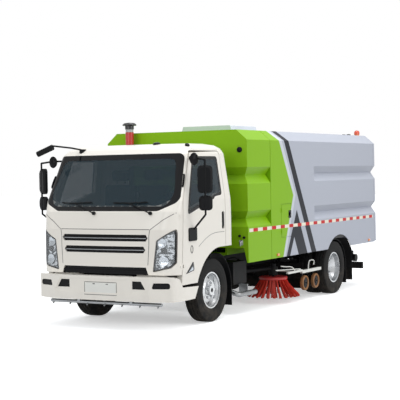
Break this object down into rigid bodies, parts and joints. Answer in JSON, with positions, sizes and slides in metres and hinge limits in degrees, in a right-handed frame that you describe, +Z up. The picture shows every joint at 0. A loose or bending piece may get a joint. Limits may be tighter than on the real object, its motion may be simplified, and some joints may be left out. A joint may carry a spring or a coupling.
{
  "type": "street_sweeper_truck",
  "caption": "Street sweeper truck with a tilting cab, swinging side brushes, a lowering suction nozzle and a tipping hopper tank with a hinged rear door",
  "frame": {"origin": "on the ground under the middle of the overall length and width", "axes": "+X forward towards the bumper, +Y towards the left side, +Z up"},
  "size_m": [5.9954, 2.4142, 2.414],
  "materials": {
    "cab_white": "gloss",
    "body_green": "gloss",
    "body_silver": "satin",
    "chassis_black": "satin",
    "engine_grey": "matt",
    "steel_grey": "satin",
    "chrome_pipe": "polished",
    "intake_red": "gloss",
    "lamp_red": "gloss",
    "lamp_amber": "gloss",
    "clear_lamp": "clear",
    "tinted_glass": "tinted",
    "black_plastic": "textured",
    "dash_grey": "textured",
    "seat_cloth": "woven",
    "black_rubber": "matt",
    "rim_silver": "satin",
    "tyre_rubber": "matt",
    "brush_red": "satin",
    "caster_tan": "satin"
  },
  "bodies": {
    "chassis": {"frame": "chassis_black", "springs": "chassis_black", "front_axle": "chassis_black", "driveline": "chassis_black", "engines": "engine_grey", "mudguards": "black_plastic", "bumper": "cab_white", "bumper_inserts": "black_plastic", "spray_bar": "steel_grey", "underrun": "chassis_black", "rear_lamps": "lamp_red", "side_tanks": "chassis_black", "exhaust": "chrome_pipe", "front_section": "body_green", "intake": "intake_red", "arm_brackets": "chassis_black", "suction_pipe": "black_rubber"},
    "cab": {"cab_shell": "cab_white", "cab_glass": "tinted_glass", "grille": "black_plastic", "headlamps": "clear_lamp", "dash": "dash_grey", "seats": "seat_cloth", "seat_frames": "dash_grey", "wipers": "black_plastic", "front_mirror": "black_plastic"},
    "tank": {"tank_shell": "body_silver", "tank_frame": "chassis_black", "gate_hinges": "chassis_black", "roof_box": "body_silver", "tank_lamps": "lamp_amber"},
    "tank_door": {"tailgate": "body_silver"},
    "side_hatch": {"hatch": "body_silver"},
    "lift_barrel": {"cylinder_barrel": "chassis_black"},
    "lift_rod": {"cylinder_rod": "chrome_pipe"},
    "suction_nozzle": {"nozzle": "cab_white"},
    "steer_left": {"knuckle_left": "chassis_black"},
    "front_wheel_left": {"front_rim_left": "rim_silver", "front_tyre_left": "tyre_rubber"},
    "rear_wheels_left": {"rear_rim_left": "rim_silver", "rear_tyre_left": "tyre_rubber"},
    "cab_door_left": {"door_left": "cab_white", "door_glass_left": "tinted_glass", "mirror_left": "black_plastic"},
    "sweep_arm_left": {"brush_arm_left": "chassis_black"},
    "sweep_brush_left": {"brush_left": "brush_red"},
    "caster_wheel_front_left": {"caster_front_left": "caster_tan"},
    "caster_wheel_rear_left": {"caster_rear_left": "caster_tan"},
    "steer_right": {"knuckle_right": "chassis_black"},
    "front_wheel_right": {"front_rim_right": "rim_silver", "front_tyre_right": "tyre_rubber"},
    "rear_wheels_right": {"rear_rim_right": "rim_silver", "rear_tyre_right": "tyre_rubber"},
    "cab_door_right": {"door_right": "cab_white", "door_glass_right": "tinted_glass", "mirror_right": "black_plastic"},
    "sweep_arm_right": {"brush_arm_right": "chassis_black"},
    "sweep_brush_right": {"brush_right": "brush_red"},
    "caster_wheel_front_right": {"caster_front_right": "caster_tan"},
    "caster_wheel_rear_right": {"caster_rear_right": "caster_tan"}
  },
  "joints": [
    {"name": "steering_left", "type": "hinge", "parent": "chassis", "child": "steer_left", "pos_m": [1.9475, 0.668, 0.375], "axis": [0, 0, 1], "range_deg": [-35, 35]},
    {"name": "front_roll_left", "type": "hinge", "parent": "steer_left", "child": "front_wheel_left", "pos_m": [1.9475, 0.785, 0.375], "axis": [0, 1, 0], "continuous": true},
    {"name": "rear_roll_left", "type": "hinge", "parent": "chassis", "child": "rear_wheels_left", "pos_m": [-1.4125, 0.8025, 0.375], "axis": [0, 1, 0], "continuous": true},
    {"name": "door_left_swing", "type": "hinge", "parent": "cab", "child": "cab_door_left", "pos_m": [2.726, 0.927, 1.27], "axis": [0, 0, -1], "range_deg": [0, 70]},
    {"name": "arm_left_swing", "type": "hinge", "parent": "chassis", "child": "sweep_arm_left", "pos_m": [0.4, 0.438, 0.45], "axis": [-0.051, -0.0596, -0.9969], "range_deg": [0, 35]},
    {"name": "brush_left_spin", "type": "hinge", "parent": "sweep_arm_left", "child": "sweep_brush_left", "pos_m": [-0.18, 0.625, 0.32], "axis": [0, 0, 1], "continuous": true},
    {"name": "caster_front_left_roll", "type": "hinge", "parent": "suction_nozzle", "child": "caster_wheel_front_left", "pos_m": [-0.522, 0.93, 0.233], "axis": [0, 1, 0], "continuous": true},
    {"name": "caster_rear_left_roll", "type": "hinge", "parent": "suction_nozzle", "child": "caster_wheel_rear_left", "pos_m": [-0.872, 0.93, 0.233], "axis": [0, 1, 0], "continuous": true},
    {"name": "steering_right", "type": "hinge", "parent": "chassis", "child": "steer_right", "pos_m": [1.9475, -0.668, 0.375], "axis": [0, 0, 1], "range_deg": [-35, 35]},
    {"name": "front_roll_right", "type": "hinge", "parent": "steer_right", "child": "front_wheel_right", "pos_m": [1.9475, -0.785, 0.375], "axis": [0, 1, 0], "continuous": true},
    {"name": "rear_roll_right", "type": "hinge", "parent": "chassis", "child": "rear_wheels_right", "pos_m": [-1.4125, -0.8025, 0.375], "axis": [0, 1, 0], "continuous": true},
    {"name": "door_right_swing", "type": "hinge", "parent": "cab", "child": "cab_door_right", "pos_m": [2.726, -0.927, 1.27], "axis": [0, 0, 1], "range_deg": [0, 70]},
    {"name": "arm_right_swing", "type": "hinge", "parent": "chassis", "child": "sweep_arm_right", "pos_m": [0.4, -0.438, 0.45], "axis": [0.051, -0.0596, 0.9969], "range_deg": [0, 35]},
    {"name": "brush_right_spin", "type": "hinge", "parent": "sweep_arm_right", "child": "sweep_brush_right", "pos_m": [-0.18, -0.625, 0.32], "axis": [0, 0, 1], "continuous": true},
    {"name": "caster_front_right_roll", "type": "hinge", "parent": "suction_nozzle", "child": "caster_wheel_front_right", "pos_m": [-0.522, -0.93, 0.233], "axis": [0, 1, 0], "continuous": true},
    {"name": "caster_rear_right_roll", "type": "hinge", "parent": "suction_nozzle", "child": "caster_wheel_rear_right", "pos_m": [-0.872, -0.93, 0.233], "axis": [0, 1, 0], "continuous": true},
    {"name": "cab_tilt", "type": "hinge", "parent": "chassis", "child": "cab", "pos_m": [2.947, 0, 0.42], "axis": [0, 1, 0], "range_deg": [0, 45]},
    {"name": "tank_tip", "type": "hinge", "parent": "chassis", "child": "tank", "pos_m": [-2.7, 0, 0.7], "axis": [0, -1, 0], "range_deg": [0, 45]},
    {"name": "tank_door_swing", "type": "hinge", "parent": "tank", "child": "tank_door", "pos_m": [-2.925, 0, 2.292], "axis": [0, 1, 0], "range_deg": [0, 70]},
    {"name": "side_hatch_swing", "type": "hinge", "parent": "tank", "child": "side_hatch", "pos_m": [0.356, 1.023, 1.11], "axis": [0, 0, -1], "range_deg": [0, 100]},
    {"name": "lift_barrel_turn", "type": "hinge", "parent": "chassis", "child": "lift_barrel", "pos_m": [-1.1, 0, 0.6], "axis": [0, 1, 0], "range_deg": [0, 20.5]},
    {"name": "lift_rod_slide", "type": "slide", "parent": "lift_barrel", "child": "lift_rod", "axis": [-0.9889, 0, 0.1483], "range_m": [0, 0.385]},
    {"name": "nozzle_drop", "type": "slide", "parent": "chassis", "child": "suction_nozzle", "axis": [0, 0, 1], "range_m": [-0.12, 0]}
  ],
  "couplings": [
    {"joint": "steering_right", "follows": "steering_left", "ratio": 1},
    {"joint": "lift_barrel_turn", "follows": "tank_tip", "ratio": 0.44933},
    {"joint": "lift_rod_slide", "follows": "tank_tip", "m_per_rad": 0.48192}
  ]
}
